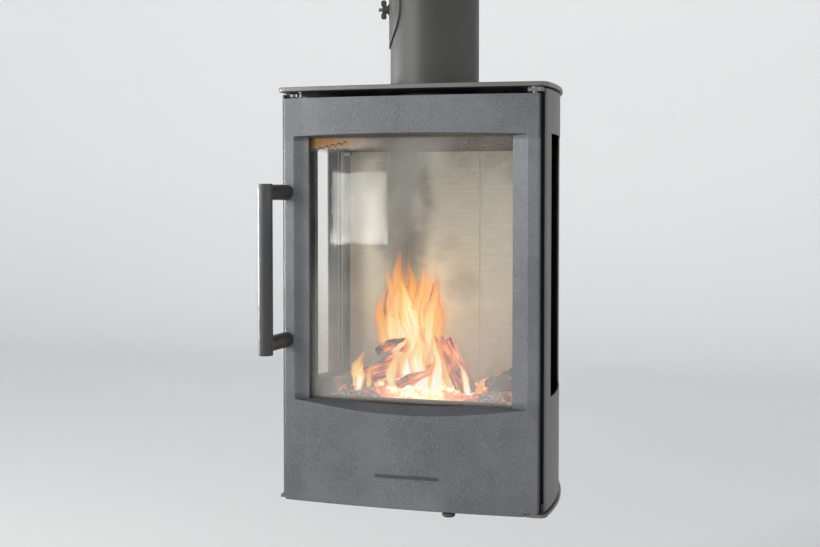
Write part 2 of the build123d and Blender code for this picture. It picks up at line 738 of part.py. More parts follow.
def assembly():
    """Every piece by its node name."""
    rear = rear_screw_set()
    side_screws = side_frame_screw_set()
    clip_screws = clip_screw_set()
    side_right, side_left = both_sides(side_panel(), rear)
    return {
        "top_plate": top_plate(),
        "base_plate": base_plate(),
        "side_panel_right": side_right,
        "side_panel_left": side_left,
        "back_panel": back_panel() - rear,
        "front_frame": front_frame(),
        "corner_spacers": corner_spacers(),
        "rear_heat_shield": rear_heat_shield(),
        "rear_screws": rear,
        "firebox_sides": both_sides(firebox_side(), side_screws),
        "firebox_back": firebox_back(),
        "firebox_top": firebox_top(),
        "firebox_floor": firebox_floor(),
        "ash_chamber_floor": ash_chamber_floor(),
        "back_liners": back_liners(),
        "floor_liner": floor_liner(),
        "grate": grate(),
        "log_guard": log_guard(),
        "ash_pan": ash_pan(),
        "baffle_board": baffle_board(),
        "baffle_pegs": baffle_pegs(),
        "smoke_plate": smoke_plate(),
        "air_wash_channel": air_wash_channel(),
        "side_glasses": mirrored(side_glass()),
        "side_glass_seals": mirrored(side_glass_seal()),
        "side_glass_frames": both_sides(side_glass_frame(), side_screws),
        "side_frame_screws": side_screws,
        "air_box": air_box(),
        "fresh_air_spigot": fresh_air_spigot(),
        "air_lever": air_lever(),
        "lever_grip": lever_grip(),
        "damper_shaft": damper_shaft(),
        "damper_disc": damper_disc(),
        "flue_collar": flue_collar(),
        "flue_pipe": flue_pipe(),
        "pipe_sleeve": pipe_sleeve(),
        "hatch_cover": hatch_cover(),
        "hatch_clamp": hatch_clamp(),
        "wing_nut": wing_nut(),
        "wall_bracket": wall_bracket(),
        "hanger_rail": hanger_rail() - rear,
        "wall_spacers": wall_spacers(),
        "hinge_bracket": hinge_bracket(),
        "hinge_pins": hinge_pins(),
        "catch_pins": catch_pins(),
        "door_panel": door_panel() - clip_screws,
        "door_seal_frame": door_seal_frame(),
        "door_rope_seal": door_rope_seal(),
        "door_glass": door_glass(),
        "glass_gasket": glass_gasket(),
        "glass_clips": [clip - clip_screws for clip in glass_clips()],
        "glass_clip_screws": clip_screws,
        "door_back_shield": door_back_shield(),
        "rod_bearings": rod_bearings(),
        "locking_rod": locking_rod(),
        "latch_hooks": latch_hooks(),
        "handle_arms": handle_arms(),
        "handle_tube": handle_tube(),
        "handle_end_caps": handle_end_caps(),
    }


os.makedirs("parts", exist_ok=True)
for node, shape in assembly().items():
    pieces = shape if isinstance(shape, list) else [shape]
    solids = [solid for piece in pieces for solid in piece.solids()]
    placed = Pos(0, -WALL_Y, -WALL_BOLTS_Z) * Compound(children=solids)
    export_step(placed, f"parts/{node}.step")
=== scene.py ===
import math
import random

import bmesh
import bpy
from mathutils import Matrix, Vector, noise


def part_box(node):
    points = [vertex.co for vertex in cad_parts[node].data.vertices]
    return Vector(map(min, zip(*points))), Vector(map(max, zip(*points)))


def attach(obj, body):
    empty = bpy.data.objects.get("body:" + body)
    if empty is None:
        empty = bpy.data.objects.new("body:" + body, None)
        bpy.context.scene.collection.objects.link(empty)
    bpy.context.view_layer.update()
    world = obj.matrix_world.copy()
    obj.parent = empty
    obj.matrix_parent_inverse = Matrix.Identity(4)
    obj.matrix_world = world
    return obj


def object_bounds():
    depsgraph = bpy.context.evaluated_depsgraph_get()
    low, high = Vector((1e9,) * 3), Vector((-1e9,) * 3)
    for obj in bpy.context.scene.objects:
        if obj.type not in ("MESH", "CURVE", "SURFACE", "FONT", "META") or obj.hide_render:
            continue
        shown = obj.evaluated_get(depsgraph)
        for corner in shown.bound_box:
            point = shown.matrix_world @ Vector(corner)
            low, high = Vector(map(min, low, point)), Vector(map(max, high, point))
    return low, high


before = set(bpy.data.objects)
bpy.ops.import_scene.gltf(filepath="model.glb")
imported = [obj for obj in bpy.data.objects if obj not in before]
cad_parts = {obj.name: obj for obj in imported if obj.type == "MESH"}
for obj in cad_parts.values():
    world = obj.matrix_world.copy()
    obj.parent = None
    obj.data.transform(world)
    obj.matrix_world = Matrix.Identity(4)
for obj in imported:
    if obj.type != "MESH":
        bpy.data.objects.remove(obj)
cad_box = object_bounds()


# Studio -------------------------------------------------------------------------------------
# The stove hangs over a plain pale floor that curves up into a backdrop well behind it. The
# camera stands to its right; soft lights from the left, the right and behind on the left draw
# the door, the casing and the handle's edge, and a small bright panel mirrors in the glass.

FLOOR_Z = cad_box[0].z - 0.32
FLOOR_HALF = 7.0
BACKDROP_Y = 3.5
BACKDROP_RADIUS = 1.1
BACKDROP_TOP = 5.0
BACKDROP_STEPS = 12
FLOOR_COLOUR = (0.80, 0.80, 0.80, 1)
FLOOR_COLOUR_WARM = (0.83, 0.83, 0.825, 1)
CAMERA_PLACE = (0.5218, -2.1632, 0.0060)
CAMERA_YAW = 0.2782
CAMERA_PITCH = math.radians(2.0)
CAMERA_LENS = 52.75
CAMERA_SHIFT = -0.0517
SKY_LEVEL = (0.98, 0.99, 1.0, 1)
SKY_ABOVE = (0.30, 0.305, 0.32, 1)
SKY_STRENGTH = 1.32


class Value:
    """A shader socket that can stand in a sum; each operator adds its Math node."""

    def __init__(self, finish, socket):
        self.finish = finish
        self.socket = socket

    def maths(self, operation, first, second=0.0):
        return self.finish.add("ShaderNodeMath", {"operation": operation}, {0: first, 1: second})

    def __add__(self, other):
        return self.maths("ADD", self, other)

    def __radd__(self, other):
        return self.maths("ADD", other, self)

    def __sub__(self, other):
        return self.maths("SUBTRACT", self, other)

    def __rsub__(self, other):
        return self.maths("SUBTRACT", other, self)

    def __mul__(self, other):
        return self.maths("MULTIPLY", self, other)

    def __rmul__(self, other):
        return self.maths("MULTIPLY", other, self)

    def __abs__(self):
        return self.maths("ABSOLUTE", self)

    def wave(self):
        return self.maths("SINE", self)

    def at_least(self, other):
        return self.maths("MAXIMUM", self, other)

    def at_most(self, other):
        return self.maths("MINIMUM", self, other)


class Finish:
    """One procedural material, or the sky, built node by node."""

    def __init__(self, name, owner=None):
        self.owner = owner or bpy.data.materials.new(name)
        self.owner.use_nodes = True
        self.tree = self.owner.node_tree
        self.tree.nodes.clear()
        kind = "ShaderNodeOutputWorld" if owner else "ShaderNodeOutputMaterial"
        self.output = self.tree.nodes.new(kind)

    def add(self, kind, settings=None, inputs=None, out=0):
        """Adds a node: its settings first, then its sockets' values or links."""
        node = self.tree.nodes.new(kind)
        for key, value in (settings or {}).items():
            if key == "stops":
                self.set_stops(node.color_ramp, value)
            else:
                setattr(node, key, value)
        for key, value in (inputs or {}).items():
            if isinstance(value, Value):
                self.tree.links.new(value.socket, node.inputs[key])
            else:
                node.inputs[key].default_value = value
        return Value(self, node.outputs[out])

    def set_stops(self, ramp, stops):
        ramp.elements[0].position, ramp.elements[0].color = stops[0]
        ramp.elements[1].position, ramp.elements[1].color = stops[-1]
        for place, colour in stops[1:-1]:
            ramp.elements.new(place).color = colour

    def place(self):
        """Where a point is on the stove, in metres."""
        return self.add("ShaderNodeTexCoord", out="Object")

    def stored(self, name):
        """A vector kept on the mesh's points."""
        return self.add("ShaderNodeAttribute", {"attribute_name": name}, out="Vector")

    def axes(self, vector):
        """The three parts of a vector, as numbers."""
        node = self.add("ShaderNodeSeparateXYZ", inputs={"Vector": vector}).socket.node
        return [Value(self, node.outputs[i]) for i in range(3)]

    def stretched(self, vector, scale):
        return self.add("ShaderNodeMapping", inputs={"Vector": vector, "Scale": scale})

    def distance(self, vector, point):
        inputs = {0: vector, 1: tuple(point)}
        return self.add("ShaderNodeVectorMath", {"operation": "DISTANCE"}, inputs, out="Value")

    def noise(self, vector, scale, detail=2.0, roughness=0.5):
        inputs = {"Vector": vector, "Scale": scale, "Detail": detail, "Roughness": roughness}
        return self.add("ShaderNodeTexNoise", inputs=inputs)

    def between(self, value, low, high, out_low=0.0, out_high=1.0):
        """A smooth step as the value goes from low to high."""
        inputs = {"Value": value, "From Min": low, "From Max": high, "To Min": out_low, "To Max": out_high}
        return self.add("ShaderNodeMapRange", {"interpolation_type": "SMOOTHSTEP"}, inputs)

    def mix(self, mask, first, second):
        """The first colour where the mask is 0, the second where it is 1."""
        return self.add("ShaderNodeMix", {"data_type": "RGBA"}, {0: mask, 6: first, 7: second}, out=2)

    def ramp(self, value, stops):
        return self.add("ShaderNodeValToRGB", {"stops": stops}, {"Fac": value})

    def bump(self, height, depth):
        return self.add("ShaderNodeBump", inputs={"Height": height, "Strength": 1.0, "Distance": depth})

    def shader(self, **inputs):
        names = {
            "base": "Base Color",
            "glow": "Emission Color",
            "glow_strength": "Emission Strength",
            "specular": "Specular IOR Level",
        }
        keyed = {names.get(key, key.capitalize()): value for key, value in inputs.items()}
        return self.add("ShaderNodeBsdfPrincipled", inputs=keyed)

    def close(self, shader):
        self.tree.links.new(shader.socket, self.output.inputs["Surface"])
        return self.owner


def mesh_piece(name, points, faces):
    """A smooth-shaded mesh object from its corners and faces, linked to the scene."""
    mesh = bpy.data.meshes.new(name)
    mesh.from_pydata([tuple(p) for p in points], [], faces)
    mesh.update()
    mesh.polygons.foreach_set("use_smooth", [True] * len(mesh.polygons))
    piece = bpy.data.objects.new(name, mesh)
    bpy.context.scene.collection.objects.link(piece)
    return piece


def grid_faces(rows, columns):
    """The quads of a grid of points, row after row."""
    return [
        (r * columns + c, r * columns + c + 1, (r + 1) * columns + c + 1, (r + 1) * columns + c)
        for r in range(rows - 1)
        for c in range(columns - 1)
    ]


def floor_profile():
    """The floor from front to back, round a quarter circle and up the backdrop."""
    line = [(-FLOOR_HALF, FLOOR_Z), (BACKDROP_Y, FLOOR_Z)]
    for step in range(1, BACKDROP_STEPS + 1):
        turn = math.pi / 2 * step / BACKDROP_STEPS
        y = BACKDROP_Y + BACKDROP_RADIUS * math.sin(turn)
        line.append((y, FLOOR_Z + BACKDROP_RADIUS * (1 - math.cos(turn))))
    line.append((BACKDROP_Y + BACKDROP_RADIUS, BACKDROP_TOP))
    return line


def soft_light(name, place, aim, size, power, colour):
    """A rectangular soft light turned towards a point."""
    lamp = bpy.data.lights.new(name, "AREA")
    lamp.shape = "RECTANGLE"
    lamp.size, lamp.size_y = size
    lamp.energy = power
    lamp.color = colour
    light = bpy.data.objects.new(name, lamp)
    light.location = place
    light.rotation_euler = (Vector(aim) - Vector(place)).to_track_quat("-Z", "Y").to_euler()
    light.visible_camera = False
    bpy.context.scene.collection.objects.link(light)


profile = floor_profile()
floor_points = [(x, y, z) for y, z in profile for x in (-FLOOR_HALF, FLOOR_HALF)]
studio_floor = mesh_piece("studio_floor", floor_points, grid_faces(len(profile), 2))
floor_finish = Finish("studio_floor")
floor_wash = floor_finish.noise(floor_finish.place(), 0.8, 2.0)
floor_tone = floor_finish.mix(floor_wash, FLOOR_COLOUR, FLOOR_COLOUR_WARM)
studio_floor.data.materials.append(floor_finish.close(floor_finish.shader(base=floor_tone, roughness=0.9)))

camera_data = bpy.data.cameras.new("camera")
camera_data.lens = CAMERA_LENS
camera_data.shift_y = CAMERA_SHIFT
camera = bpy.data.objects.new("camera", camera_data)
camera.location = CAMERA_PLACE
camera.rotation_euler = (math.pi / 2 - CAMERA_PITCH, 0, CAMERA_YAW)
bpy.context.scene.collection.objects.link(camera)
bpy.context.scene.camera = camera
bpy.context.scene.view_settings.view_transform = "Standard"

bpy.context.scene.world = bpy.data.worlds.new("sky")
sky = Finish("sky", bpy.context.scene.world)
sky_height = sky.axes(sky.add("ShaderNodeTexCoord", out="Generated"))[2]
sky_colour = sky.mix(sky.between(sky_height, 0.12, 0.8), SKY_LEVEL, SKY_ABOVE)
sky.close(sky.add("ShaderNodeBackground", inputs={"Color": sky_colour, "Strength": SKY_STRENGTH}))

soft_light("key_light", (-2.4, -2.3, 0.9), (0, -0.2, 0.0), (1.3, 2.0), 84, (1.0, 0.99, 0.97))
soft_light("fill_light", (2.9, -1.2, 0.2), (0.1, -0.1, 0.0), (1.0, 1.6), 4.5, (1.0, 0.90, 0.76))
soft_light("window_panel", (-1.305, -4.0, -0.085), (-0.087, -0.33, -0.03), (0.265, 0.35), 3.8, (1, 1, 1))
soft_light("edge_light", (-2.7, 0.05, -0.15), (-0.2, -0.3, -0.05), (1.5, 0.6), 3.5, (1.0, 1.0, 1.0))
bpy.data.lights["edge_light"].spread = 0.4


# Door ---------------------------------------------------------------------------------------
# The bowed door is one casting with splayed jambs round the window and a sill that bows down.
# Its fine-textured grey paint has painted shade in the recess; the raised badge bar is a darker tone.

DOOR_GREY = (0.074, 0.078, 0.086, 1)
DOOR_GREY_PALE = (0.176, 0.182, 0.195, 1)


def dress(material, *nodes):
    """Gives carried-over parts their material."""
    for node in nodes:
        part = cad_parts[node]
        part.data.materials.clear()
        part.data.materials.append(material)


def textured_paint(
    name, dark, pale, roughness=0.46, grain=2100.0, grain_depth=0.00006, metallic=0.25, shade_and_badge=None
):
    """Sprayed stove paint: a fine pebbled film with faint cloudy patches and dust in the pores."""
    paint = Finish(name)
    place = paint.place()
    grain_noise = paint.noise(place, grain, 2.0, 0.6)
    pebble = paint.noise(place, grain * 0.28, 3.0, 0.55)
    cloud = paint.noise(place, 7.0, 3.0, 0.6)
    smear = paint.noise(paint.stretched(place, (1, 1, 0.25)), 34.0, 2.0, 0.5)
    tone = paint.between(cloud, 0.30, 0.72) * 0.45 + paint.between(grain_noise, 0.35, 0.72) * 0.55
    colour = paint.mix(tone, dark, pale)
    # Painted shade in the door's recess, with the badge bar's darker tone, mixed in towards near-black.
    if shade_and_badge:
        colour = paint.mix(shade_and_badge(paint, place), colour, SHADE_AND_BADGE_BLACK)
    gloss = roughness + (smear - 0.5) * 0.16 + (pebble - 0.5) * 0.12
    relief = paint.bump(grain_noise * 0.6 + pebble * 0.8, grain_depth)
    return paint.close(paint.shader(base=colour, roughness=gloss, metallic=metallic, normal=relief))


def recess_shade_and_badge(paint, place):
    """How far the paint is darkened: painted shade on the sill, lintel, left jamb and throat, and the badge
    bar's own darker tone.
    """
    x, y, z = paint.axes(place)
    depth = y - door_low.y - x * x * (0.5 / DOOR_BOW)
    # Painted shade: darker where the face sinks into the opening, on the sill, lintel and left jamb,
    # near-black in the throat.
    recess = paint.between(depth, 0.0006, 0.0022)
    sill = paint.between(z, pane_foot, pane_foot + 0.012, 1.0, 0.0)
    lintel = paint.between(z, pane_head - 0.010, pane_head - 0.004)
    left = paint.between(x, -0.180, -0.168, 1.0, 0.0)
    within = paint.between(abs(x), THROAT_HALF + 0.002, THROAT_HALF + 0.004, 1.0, 0.0)
    throat = paint.between(depth, THROAT_DEPTH - 0.002, THROAT_DEPTH) * within
    # The badge bar's own darker tone.
    badge = paint.between(abs(z - badge_height), BADGE_HALF_HEIGHT, BADGE_HALF_HEIGHT + 0.0008, 1.0, 0.0)
    badge = badge * paint.between(abs(x), BADGE_HALF_LENGTH, BADGE_HALF_LENGTH + 0.0015, 0.75, 0.0)
    return (recess * (sill * 0.5 + lintel * 0.6 + left * 0.35) + throat + badge).at_most(0.92)


# Near-black for the painted shade in the recess and for the badge bar.
SHADE_AND_BADGE_BLACK = (0.020, 0.019, 0.018, 1)
DOOR_BOW = 1.98
THROAT_HALF = 0.167
THROAT_DEPTH = 0.0135
BADGE_HALF_HEIGHT = 0.0022
BADGE_HALF_LENGTH = 0.0510
door_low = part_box("door_panel")[0]
pane_foot = door_low.z + 0.1675
pane_head = door_low.z + 0.590
badge_height = door_low.z + 0.0515

# The door paint has painted shade in its recess and a darker badge bar.
door_paint = textured_paint(
    "door_paint", DOOR_GREY, DOOR_GREY_PALE, roughness=0.43, grain=560.0, shade_and_badge=recess_shade_and_badge
)
dress(door_paint, "door_panel")


# Casing -------------------------------------------------------------------------------------
# The top and base are thick laser-cut plates with eased edges; the sides are bent sheets with a
# tall window cut in each, and the back is one sheet screwed to their flanges, all painted.

CASING_GREY = (0.104, 0.103, 0.100, 1)
CASING_GREY_PALE = (0.142, 0.140, 0.134, 1)

casing_paint = textured_paint("casing_paint", CASING_GREY, CASING_GREY_PALE, roughness=0.5)
plate_paint = textured_paint("plate_paint", CASING_GREY, CASING_GREY_PALE, roughness=0.4, metallic=0.35)
dress(plate_paint, "top_plate", "base_plate")
dress(casing_paint, "side_panel_right", "side_panel_left", "back_panel")
dress(casing_paint, "corner_spacers", "hinge_bracket", "wall_bracket", "hanger_rail", "wall_spacers")


# Handle -------------------------------------------------------------------------------------
# A steel tube grip with pressed-in end caps on two round arms that reach back past the door's
# edge to the locking rod. Its paint is darker and smoother, and worn a little where hands hold it.

HANDLE_GREY = (0.036, 0.037, 0.039, 1)
HANDLE_WORN = (0.066, 0.066, 0.067, 1)

handle_finish = Finish("handle_paint")
handle_place = handle_finish.place()
handle_grain = handle_finish.noise(handle_place, 2600.0, 2.0)
handle_rub = handle_finish.noise(handle_finish.stretched(handle_place, (1, 1, 0.2)), 46.0, 3.0)
handle_colour = handle_finish.mix(handle_finish.between(handle_rub, 0.4, 0.75), HANDLE_GREY, HANDLE_WORN)
handle_paint = handle_finish.close(
    handle_finish.shader(
        base=handle_colour,
        roughness=0.36 + (handle_rub - 0.5) * 0.16,
        metallic=0.3,
        normal=handle_finish.bump(handle_grain, 0.00003),
    )
)
dress(handle_paint, "handle_tube", "handle_end_caps", "handle_arms")


# Flue pipe ----------------------------------------------------------------------------------
# Rolled and seam-welded pipe in a matt grey paint a shade warmer than the door's, with an oval
# sweeping hatch held on by a wing nut, and a raw sleeve on top for the next length.

PIPE_GREY = (0.026, 0.026, 0.025, 1)
PIPE_GREY_PALE = (0.052, 0.051, 0.048, 1)

pipe_paint = textured_paint("pipe_paint", PIPE_GREY, PIPE_GREY_PALE, roughness=0.48, grain=1500.0)
dress(pipe_paint, "flue_pipe", "flue_collar", "pipe_sleeve", "hatch_cover")


# Black steel --------------------------------------------------------------------------------
# Everything between the casing and the fire is mild steel in matt black stove paint, which
# greys with heat and dust; the air lever, the wing nut and the locking rod are oiled black.

BLACK_STEEL = (0.016, 0.016, 0.017, 1)
BLACK_STEEL_ASHEN = (0.060, 0.057, 0.054, 1)

black_finish = Finish("frame_steel")
black_place = black_finish.place()
black_cloud = black_finish.noise(black_place, 16.0, 4.0, 0.6)
black_grain = black_finish.noise(black_place, 900.0, 2.0)
black_tone = black_finish.between(black_cloud, 0.42, 0.8)
black_steel = black_finish.close(
    black_finish.shader(
        base=black_finish.mix(black_tone, BLACK_STEEL, BLACK_STEEL_ASHEN),
        roughness=0.62 + (black_cloud - 0.5) * 0.2,
        normal=black_finish.bump(black_grain, 0.00006),
    )
)
dress(black_steel, "front_frame", "firebox_top", "ash_chamber_floor", "air_box", "air_wash_channel")
dress(black_steel, "firebox_sides", "firebox_back", "firebox_floor", "side_glass_frames")
dress(black_steel, "door_seal_frame", "fresh_air_spigot", "rear_heat_shield", "door_back_shield")
dress(black_steel, "smoke_plate", "log_guard", "ash_pan", "air_lever", "lever_grip", "wing_nut")
dress(black_steel, "locking_rod", "rod_bearings")


# Bright steel -------------------------------------------------------------------------------
# Turned and cut hardware left bare: pins, hooks, clips, the damper and zinc-plated screws.
# Heat has dulled it, with faint turning lines round each piece.

STEEL_GREY = (0.20, 0.197, 0.193, 1)
STEEL_DULL = (0.10, 0.092, 0.084, 1)

steel_finish = Finish("bright_steel")
steel_place = steel_finish.place()
steel_lines = steel_finish.noise(steel_finish.stretched(steel_place, (1, 1, 12)), 380.0, 2.0)
steel_stain = steel_finish.noise(steel_place, 60.0, 3.0)
bright_steel = steel_finish.close(
    steel_finish.shader(
        base=steel_finish.mix(steel_finish.between(steel_stain, 0.35, 0.75), STEEL_GREY, STEEL_DULL),
        roughness=0.34 + (steel_lines - 0.5) * 0.25,
        metallic=0.9,
        normal=steel_finish.bump(steel_lines, 0.00003),
    )
)
dress(bright_steel, "rear_screws", "side_frame_screws", "glass_clips", "glass_clip_screws")
dress(bright_steel, "hinge_pins", "catch_pins", "latch_hooks")
dress(bright_steel, "damper_shaft", "damper_disc", "baffle_pegs", "hatch_clamp")


# Insulating boards --------------------------------------------------------------------------
# Pressed vermiculite: a pale, flaky, sandy board. A darker column runs left of the middle of the
# back wall, smoke has greyed the roof baffle, and faint press lines run across the cleaner boards.

BOARD_PALE = (0.56, 0.53, 0.425, 1)
BOARD_WARM = (0.43, 0.395, 0.30, 1)
BOARD_DARK = (0.075, 0.070, 0.056, 1)
liner_low, liner_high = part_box("back_liners")
DARK_COLUMN_X = liner_low.x + 0.095
SMUDGE_X = 0.034
SMUDGE_UP = 0.185


def board_material(name, soot_all, glow_marks):
    """Vermiculite with its flakes and press lines, more or less greyed by smoke and darker in a column."""
    board = Finish(name)
    place = board.place()
    x, y, z = board.axes(place)
    flakes = board.axes(
        board.add("ShaderNodeTexVoronoi", {"feature": "F1"}, {"Vector": place, "Scale": 420.0}, out="Color")
    )[0]
    cloud = board.noise(place, 9.0, 4.0, 0.6)
    press = board.noise(board.stretched(place, (0.12, 1, 1)), 240.0, 3.0)
    # A darker column left of the middle of the back wall, added to the smoke marks.
    column = board.between(abs(x - DARK_COLUMN_X) + (cloud - 0.5) * 0.10, 0.012, 0.065, 1.0, 0.0)
    upper = board.between(z, liner_low.z + 0.16, liner_low.z + 0.26)
    smudge_away = board.distance(place, (SMUDGE_X, liner_low.y, liner_low.z + SMUDGE_UP))
    smudge = board.between(smudge_away, 0.012, 0.05, 1.0, 0.0)
    soot_and_dark_column = column * (0.62 + upper * 0.30) + board.between(cloud, 0.50, 0.74) * 0.4 + smudge * 0.35
    clean = board.mix(board.between(press, 0.38, 0.64) * 0.35, BOARD_PALE, BOARD_WARM)
    soot_and_column_tone = board.mix((soot_and_dark_column * glow_marks + soot_all).at_least(0).at_most(0.95), clean, BOARD_DARK)
    return board.close(
        board.shader(
            base=board.mix(flakes * (0.2 - soot_all * 0.2), soot_and_column_tone, BOARD_WARM),
            roughness=0.93,
            normal=board.bump(flakes * 0.6 + press * 0.5, 0.0004),
        )
    )


dress(board_material("insulating_board", 0.0, 1.0), "back_liners")
dress(board_material("sooty_board", 0.88, 0.3), "floor_liner", "baffle_board")


# Grate --------------------------------------------------------------------------------------
# A sand-cast iron grate, its skin rough from the mould and dusted with ash.

IRON = (0.055, 0.050, 0.046, 1)
IRON_ASH = (0.26, 0.25, 0.235, 1)

iron_finish = Finish("grate_iron")
iron_place = iron_finish.place()
iron_skin = iron_finish.noise(iron_place, 520.0, 3.0, 0.6)
iron_dust = iron_finish.noise(iron_place, 45.0, 4.0, 0.6)
grate_iron = iron_finish.close(
    iron_finish.shader(
        base=iron_finish.mix(iron_finish.between(iron_dust, 0.45, 0.75), IRON, IRON_ASH),
        roughness=0.85,
        metallic=0.2,
        normal=iron_finish.bump(iron_skin, 0.0004),
    )
)
dress(grate_iron, "grate")


# Glass --------------------------------------------------------------------------------------
# Clear ceramic glass, 4 mm thick. The fire leaves a thin pale film on the inside, thicker low
# down, with ochre stains and a scalloped line of tar in the top left corner.

GLASS_FILM = (0.66, 0.65, 0.61, 1)
GLASS_OCHRE = (0.42, 0.215, 0.065, 1)
GLASS_TAR = (0.055, 0.022, 0.008, 1)
pane_low, pane_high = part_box("door_glass")
PANE_CLEAR = 0.035
PANE_FILM = 0.15
TAR_LEFT = pane_low.x + 0.010
TAR_RIGHT = TAR_LEFT + 0.064
SCALLOP = 0.0105

glass_finish = Finish("stove_glass")
glass_place = glass_finish.place()
glass_x, glass_y, glass_z = glass_finish.axes(glass_place)
film_cloud = glass_finish.noise(glass_finish.stretched(glass_place, (1, 1, 0.5)), 10.0, 4.0, 0.62)
film_streak = glass_finish.noise(glass_finish.stretched(glass_place, (1, 1, 0.12)), 60.0, 3.0)
low_film = glass_finish.between(glass_z, pane_low.z, pane_low.z + 0.24, 1.0, 0.0)
film = glass_finish.between(film_cloud, 0.44, 0.70) * 0.6 + low_film * 1.25 + (film_streak - 0.5) * 0.3
stain_noise = glass_finish.noise(glass_finish.stretched(glass_place, (0.5, 1, 1)), 70.0, 4.0, 0.7)
stain_height = glass_z + (stain_noise - 0.5) * 0.02
stain_right = glass_finish.between(glass_x, TAR_LEFT + 0.02, TAR_RIGHT + 0.075, 1.0, 0.0)
stain = glass_finish.between(stain_height, pane_high.z - 0.027, pane_high.z - 0.016) * stain_right
tar_rise = (glass_x - TAR_LEFT) * 0.20 + (pane_high.z - 0.0275)
tar_curve = abs((glass_x * (math.pi / SCALLOP)).wave()) * 0.0045
tar_line = glass_finish.between(abs(glass_z - tar_rise - tar_curve), 0.0006, 0.0019, 1.0, 0.0)
tar_ends = glass_finish.between(glass_x, TAR_LEFT - 0.004, TAR_LEFT)
tar_ends = tar_ends * glass_finish.between(glass_x, TAR_RIGHT - 0.01, TAR_RIGHT, 1.0, 0.0)
tar = tar_line * tar_ends * glass_finish.between(stain_noise, 0.3, 0.5)
film_colour = glass_finish.mix(stain, GLASS_FILM, GLASS_OCHRE)
stove_glass = glass_finish.close(
    glass_finish.shader(
        base=glass_finish.mix(tar, film_colour, GLASS_TAR),
        roughness=0.022,
        metallic=0.2,
        alpha=(PANE_CLEAR + film.at_least(0) * PANE_FILM + stain * 0.58 + tar * 0.85).at_most(1),
        normal=glass_finish.bump(glass_finish.noise(glass_place, 14.0, 2.0), 0.00015),
    )
)
dress(stove_glass, "door_glass", "side_glasses")


# Seals --------------------------------------------------------------------------------------
# Braided glass-fibre rope pressed into the door's groove, and woven tape under each pane.

ROPE_GREY = (0.10, 0.098, 0.094, 1)
ROPE_PALE = (0.26, 0.25, 0.235, 1)

rope_finish = Finish("rope_seal")
rope_place = rope_finish.place()
braid = rope_finish.add(
    "ShaderNodeTexWave",
    {"wave_type": "BANDS", "bands_direction": "DIAGONAL"},
    {"Vector": rope_place, "Scale": 130.0, "Distortion": 1.2, "Detail": 2.0, "Detail Scale": 3.0},
    out="Fac",
)
rope_seal = rope_finish.close(
    rope_finish.shader(
        base=rope_finish.mix(braid, ROPE_GREY, ROPE_PALE),
        roughness=0.95,
        normal=rope_finish.bump(braid, 0.0008),
    )
)
dress(rope_seal, "door_rope_seal", "glass_gasket", "side_glass_seals")


# Ember bed ----------------------------------------------------------------------------------
# A low mound of pale ash over the grate with lumps of coal on it, white-hot in the middle
# under the flames and cooling to grey at the edges.

hearth_low, hearth_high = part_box("floor_liner")
hearth = Vector(((hearth_low.x + hearth_high.x) / 2, (hearth_low.y + hearth_high.y) / 2, hearth_high.z))
BED_HALF = ((hearth_high.x - hearth_low.x) / 2 - 0.012, (hearth_high.y - hearth_low.y) / 2 - 0.014)
BED_ROWS, BED_COLUMNS = 46, 84
COALS = 90
EMBER_STOPS = [
    (0.0, (0.0, 0.0, 0.0, 1)),
    (0.25, (0.34, 0.035, 0.006, 1)),
    (0.55, (0.95, 0.25, 0.05, 1)),
    (0.8, (1.0, 0.60, 0.22, 1)),
    (1.0, (1.0, 0.88, 0.62, 1)),
]


def on_hearth(x, y, up):
    """A point from the hearth's middle, in millimetres: right, back and up."""
    return hearth + Vector((x, y, up)) / 1000


def bed_height(x, y):
    """How high the ash stands above the hearth at a point from the bed's middle."""
    edge = min(1.0, 5 * (1 - abs(x) / BED_HALF[0]), 5 * (1 - abs(y) / BED_HALF[1]))
    swell = noise.noise(Vector((x * 22, y * 22, 0.3)))
    lumps = noise.noise(Vector((x * 95, y * 95, 4.7)))
    return max(0.0, edge * (0.010 + 0.006 * swell + 0.0045 * lumps))


def bed_mesh():
    """The bed's top as a grid and its underside as the same grid, flat, joined at the rim."""
    top, bottom = [], []
    for r in range(BED_ROWS):
        for c in range(BED_COLUMNS):
            x = BED_HALF[0] * (2 * c / (BED_COLUMNS - 1) - 1)
            y = BED_HALF[1] * (2 * r / (BED_ROWS - 1) - 1)
            top.append(hearth + Vector((x, y, 0.0006 + bed_height(x, y))))
            bottom.append(hearth + Vector((x, y, 0.0002)))
    count = len(top)
    faces = grid_faces(BED_ROWS, BED_COLUMNS)
    under = [tuple(count + i for i in reversed(face)) for face in faces]
    rim = list(range(BED_COLUMNS))
    rim += [r * BED_COLUMNS + BED_COLUMNS - 1 for r in range(1, BED_ROWS)]
    rim += [(BED_ROWS - 1) * BED_COLUMNS + c for c in range(BED_COLUMNS - 2, -1, -1)]
    rim += [r * BED_COLUMNS for r in range(BED_ROWS - 2, 0, -1)]
    wall = [(b, a, count + a, count + b) for a, b in zip(rim, rim[1:] + rim[:1])]
    return top + bottom, faces + under + wall


def coal_mesh():
    """Broken lumps of coal strewn over the bed, thickest under the flames."""
    draw = random.Random(7)
    lumps = bmesh.new()
    for number in range(COALS):
        x = max(-0.9, min(0.9, draw.gauss(0.05, 0.5))) * BED_HALF[0]
        y = draw.uniform(-0.85, 0.6) * BED_HALF[1]
        size = draw.uniform(0.004, 0.0095)
        made = bmesh.ops.create_icosphere(lumps, subdivisions=2, radius=size)["verts"]
        turn = Matrix.Rotation(draw.uniform(0, math.pi), 3, "Z") @ Matrix.Diagonal((1.35, 1.0, 0.75))
        for corner in made:
            rough = 1 + 0.5 * noise.noise(corner.co * 160 + Vector((number * 3.1, 0, 0)))
            corner.co = turn @ (corner.co * rough)
            corner.co += hearth + Vector((x, y, bed_height(x, y) + size * 0.35))
    mesh = bpy.data.meshes.new("coals")
    lumps.to_mesh(mesh)
    lumps.free()
    return mesh


